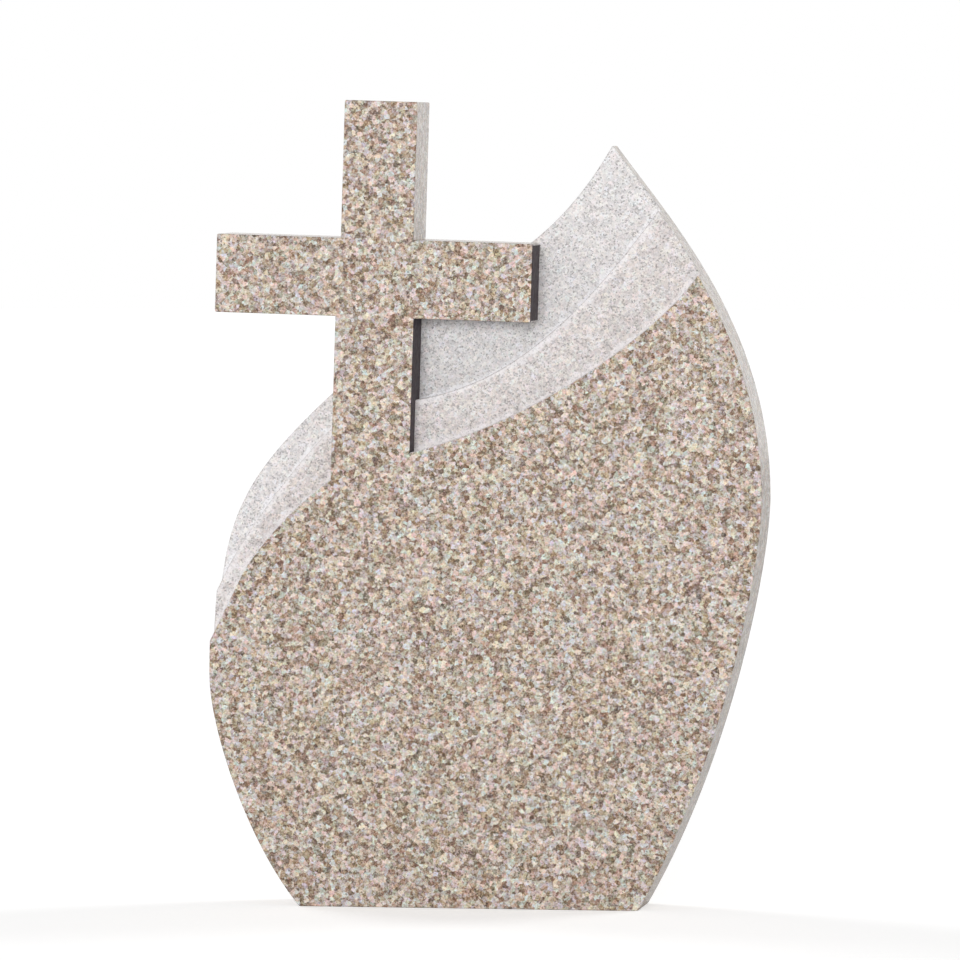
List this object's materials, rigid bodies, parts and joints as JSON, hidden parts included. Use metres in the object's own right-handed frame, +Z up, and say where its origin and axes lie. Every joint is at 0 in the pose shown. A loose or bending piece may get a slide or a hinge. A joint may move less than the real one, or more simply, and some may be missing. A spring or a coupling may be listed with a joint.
{
  "type": "cross headstone",
  "caption": "Leaf-shaped granite headstone with a plain Latin cross standing flush at its shoulder in front of lowered sweeping bands, on a flat foot.",
  "frame": {"origin": "centre of the stone's overall box, on the ground plane of its flat foot", "axes": "+Z up, X along the width with the cross towards -X, polished face towards -Y"},
  "size_m": [0.69, 0.1, 1],
  "materials": {
    "granite": "polished"
  },
  "bodies": {
    "root": {"headstone": "granite"}
  },
  "joints": []
}
